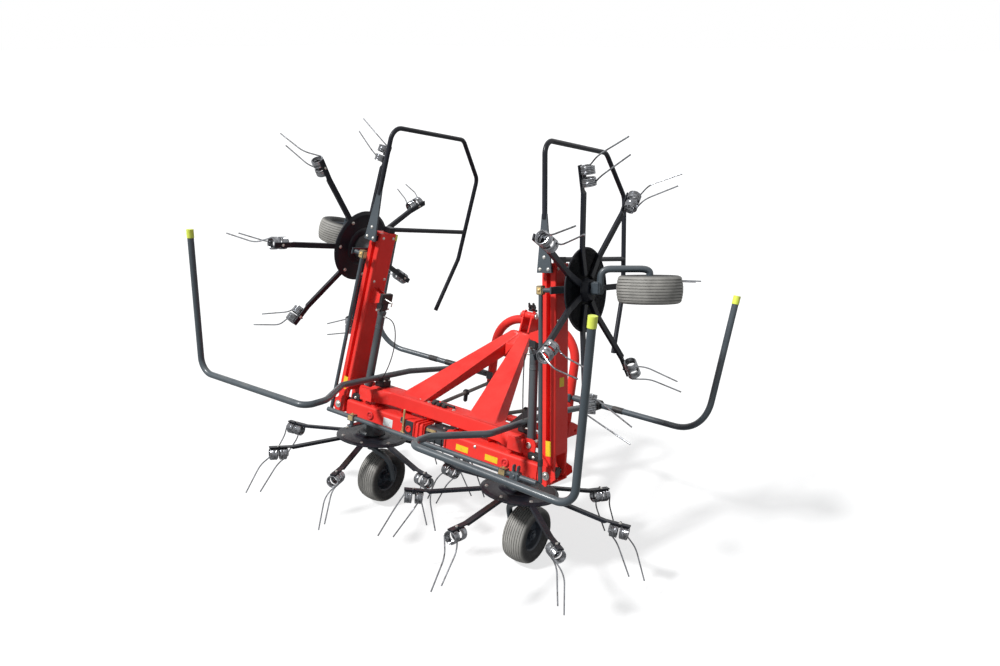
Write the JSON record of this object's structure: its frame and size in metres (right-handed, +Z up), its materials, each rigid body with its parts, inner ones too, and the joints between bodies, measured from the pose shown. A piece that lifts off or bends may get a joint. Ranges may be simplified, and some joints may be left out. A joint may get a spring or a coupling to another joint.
{
  "type": "four-rotor mounted hay tedder",
  "caption": "Mounted hay tedder folded for transport: pitched centre frame with headstock, folding arms, tined rotors in guards, steered wheels and a parking stand.",
  "frame": {"origin": "On the ground under the middle of the folded machine's overall box.", "axes": "+X to the machine's right across the working width, +Y forward to the tractor, +Z up."},
  "size_m": [3.2504, 2.3419, 2.9531],
  "materials": {
    "red_paint": "semi-gloss red enamel",
    "grey_tube": "semi-gloss slate grey enamel",
    "black_paint": "semi-gloss black enamel",
    "rim_paint": "dark grey enamel",
    "cylinder_grey": "grey enamel",
    "grey_casting": "painted casting",
    "spring_steel": "oil-tempered spring wire",
    "zinc_steel": "yellow zinc plate",
    "chrome_rod": "hard chrome",
    "black_rubber": "matt rubber",
    "tyre_rubber": "worn grey rubber",
    "yellow_plastic": "fluorescent yellow cap"
  },
  "bodies": {
    "centre": {"centre_frame": "red_paint", "drive_housing": "red_paint", "centre_gearbox": "grey_casting", "headstock": "red_paint", "inner_gearboxes": "grey_casting", "pivot_pins": "zinc_steel", "joint_boots": "black_rubber", "rear_guards": "grey_tube", "front_guards": "grey_tube", "guard_caps": "yellow_plastic", "guard_clamps": "black_paint"},
    "arm_right": {"arm_right": "red_paint", "outer_gearbox_right": "grey_casting", "hoop_right": "grey_tube"},
    "barrel_right": {"cylinder_barrel_right": "cylinder_grey"},
    "piston_right": {"cylinder_rod_right": "chrome_rod"},
    "tie_right": {"tie_rod_right": "grey_tube"},
    "rotor_inner_right": {"rotor_inner_right": "black_paint", "tines_inner_right": "spring_steel"},
    "strut_inner_right": {"strut_inner_right": "grey_tube"},
    "wheel_inner_right": {"tyre_inner_right": "tyre_rubber", "rim_inner_right": "rim_paint"},
    "rotor_outer_right": {"rotor_outer_right": "black_paint", "tines_outer_right": "spring_steel"},
    "strut_outer_right": {"strut_outer_right": "grey_tube"},
    "wheel_outer_right": {"tyre_outer_right": "tyre_rubber", "rim_outer_right": "rim_paint"},
    "arm_left": {"arm_left": "red_paint", "outer_gearbox_left": "grey_casting", "hoop_left": "grey_tube"},
    "barrel_left": {"cylinder_barrel_left": "cylinder_grey"},
    "piston_left": {"cylinder_rod_left": "chrome_rod"},
    "tie_left": {"tie_rod_left": "grey_tube"},
    "rotor_inner_left": {"rotor_inner_left": "black_paint", "tines_inner_left": "spring_steel"},
    "strut_inner_left": {"strut_inner_left": "grey_tube"},
    "wheel_inner_left": {"tyre_inner_left": "tyre_rubber", "rim_inner_left": "rim_paint"},
    "rotor_outer_left": {"rotor_outer_left": "black_paint", "tines_outer_left": "spring_steel"},
    "strut_outer_left": {"strut_outer_left": "grey_tube"},
    "wheel_outer_left": {"tyre_outer_left": "tyre_rubber", "rim_outer_left": "rim_paint"},
    "rod": {"steering_rod": "grey_tube"},
    "stand": {"parking_stand": "black_paint"}
  },
  "joints": [
    {"name": "fold_right", "type": "hinge", "parent": "centre", "child": "arm_right", "pos_m": [0.945, -0.14305, 0.79576], "axis": [0, 0.9787, -0.2055], "range_deg": [0, 98.5]},
    {"name": "barrel_right", "type": "hinge", "parent": "centre", "child": "barrel_right", "pos_m": [0.75, -0.14404, 0.93698], "axis": [0, 0.9787, -0.2055], "range_deg": [0, 96.03]},
    {"name": "piston_right", "type": "slide", "parent": "barrel_right", "child": "piston_right", "axis": [-0.1132, 0.2042, 0.9724], "range_m": [0, 0.36]},
    {"name": "rotor_inner_right", "type": "hinge", "parent": "centre", "child": "rotor_inner_right", "pos_m": [0.688, -0.18415, 0.60003], "axis": [0, 0.2055, 0.9787], "continuous": true},
    {"name": "steer_inner_right", "type": "hinge", "parent": "centre", "child": "strut_inner_right", "pos_m": [0.688, -0.18415, 0.60003], "axis": [0, 0.2055, 0.9787], "range_deg": [-13, 13]},
    {"name": "wheel_inner_right", "type": "hinge", "parent": "strut_inner_right", "child": "wheel_inner_right", "pos_m": [0.693, -0.09851, 0.205], "axis": [1, 0, 0], "continuous": true},
    {"name": "rotor_outer_right", "type": "hinge", "parent": "arm_right", "child": "rotor_outer_right", "pos_m": [0.96588, 0.10634, 1.98327], "axis": [-0.989, -0.0304, -0.1447], "continuous": true},
    {"name": "steer_outer_right", "type": "hinge", "parent": "arm_right", "child": "strut_outer_right", "pos_m": [0.96588, 0.10634, 1.98327], "axis": [-0.989, -0.0304, -0.1447], "range_deg": [-13, 13]},
    {"name": "wheel_outer_right", "type": "hinge", "parent": "strut_outer_right", "child": "wheel_outer_right", "pos_m": [1.33008, 0.28004, 2.00758], "axis": [-0.1478, 0.2033, 0.9679], "continuous": true},
    {"name": "tie_right", "type": "slide", "parent": "arm_right", "child": "tie_right", "axis": [-0.1478, 0.2033, 0.9679], "range_m": [-0.0475, 0.0475]},
    {"name": "fold_left", "type": "hinge", "parent": "centre", "child": "arm_left", "pos_m": [-0.945, -0.14305, 0.79576], "axis": [0, -0.9787, 0.2055], "range_deg": [0, 98.5]},
    {"name": "barrel_left", "type": "hinge", "parent": "centre", "child": "barrel_left", "pos_m": [-0.75, -0.14404, 0.93698], "axis": [0, -0.9787, 0.2055], "range_deg": [0, 96.03]},
    {"name": "piston_left", "type": "slide", "parent": "barrel_left", "child": "piston_left", "axis": [0.1132, 0.2042, 0.9724], "range_m": [0, 0.36]},
    {"name": "rotor_inner_left", "type": "hinge", "parent": "centre", "child": "rotor_inner_left", "pos_m": [-0.688, -0.18415, 0.60003], "axis": [0, 0.2055, 0.9787], "continuous": true},
    {"name": "steer_inner_left", "type": "hinge", "parent": "centre", "child": "strut_inner_left", "pos_m": [-0.688, -0.18415, 0.60003], "axis": [0, 0.2055, 0.9787], "range_deg": [-13, 13]},
    {"name": "wheel_inner_left", "type": "hinge", "parent": "strut_inner_left", "child": "wheel_inner_left", "pos_m": [-0.693, -0.09851, 0.205], "axis": [1, 0, 0], "continuous": true},
    {"name": "rotor_outer_left", "type": "hinge", "parent": "arm_left", "child": "rotor_outer_left", "pos_m": [-0.96588, 0.10634, 1.98327], "axis": [0.989, -0.0304, -0.1447], "continuous": true},
    {"name": "steer_outer_left", "type": "hinge", "parent": "arm_left", "child": "strut_outer_left", "pos_m": [-0.96588, 0.10634, 1.98327], "axis": [0.989, -0.0304, -0.1447], "range_deg": [-13, 13]},
    {"name": "wheel_outer_left", "type": "hinge", "parent": "strut_outer_left", "child": "wheel_outer_left", "pos_m": [-1.33008, 0.28004, 2.00758], "axis": [-0.1478, -0.2033, -0.9679], "continuous": true},
    {"name": "tie_left", "type": "slide", "parent": "arm_left", "child": "tie_left", "axis": [-0.1478, -0.2033, -0.9679], "range_m": [-0.0475, 0.0475]},
    {"name": "rod", "type": "slide", "parent": "centre", "child": "rod", "axis": [1, 0, 0], "range_m": [-0.055, 0.055]},
    {"name": "stand", "type": "slide", "parent": "centre", "child": "stand", "axis": [0, 0.2055, 0.9787], "range_m": [0, 0.3]}
  ],
  "couplings": [
    {"joint": "barrel_right", "follows": "fold_right", "ratio": 0.97477},
    {"joint": "piston_right", "follows": "fold_right", "m_per_rad": 0.20935},
    {"joint": "rotor_outer_right", "follows": "rotor_inner_right", "ratio": -1},
    {"joint": "steer_outer_right", "follows": "steer_inner_right", "ratio": 1},
    {"joint": "tie_right", "follows": "steer_inner_right", "m_per_rad": 0.1945},
    {"joint": "barrel_left", "follows": "fold_left", "ratio": 0.97477},
    {"joint": "piston_left", "follows": "fold_left", "m_per_rad": 0.20935},
    {"joint": "rotor_inner_left", "follows": "rotor_inner_right", "ratio": -1},
    {"joint": "steer_inner_left", "follows": "steer_inner_right", "ratio": 1},
    {"joint": "rotor_outer_left", "follows": "rotor_inner_right", "ratio": 1},
    {"joint": "steer_outer_left", "follows": "steer_inner_right", "ratio": 1},
    {"joint": "tie_left", "follows": "steer_inner_right", "m_per_rad": 0.1945},
    {"joint": "rod", "follows": "steer_inner_right", "m_per_rad": 0.2325}
  ]
}
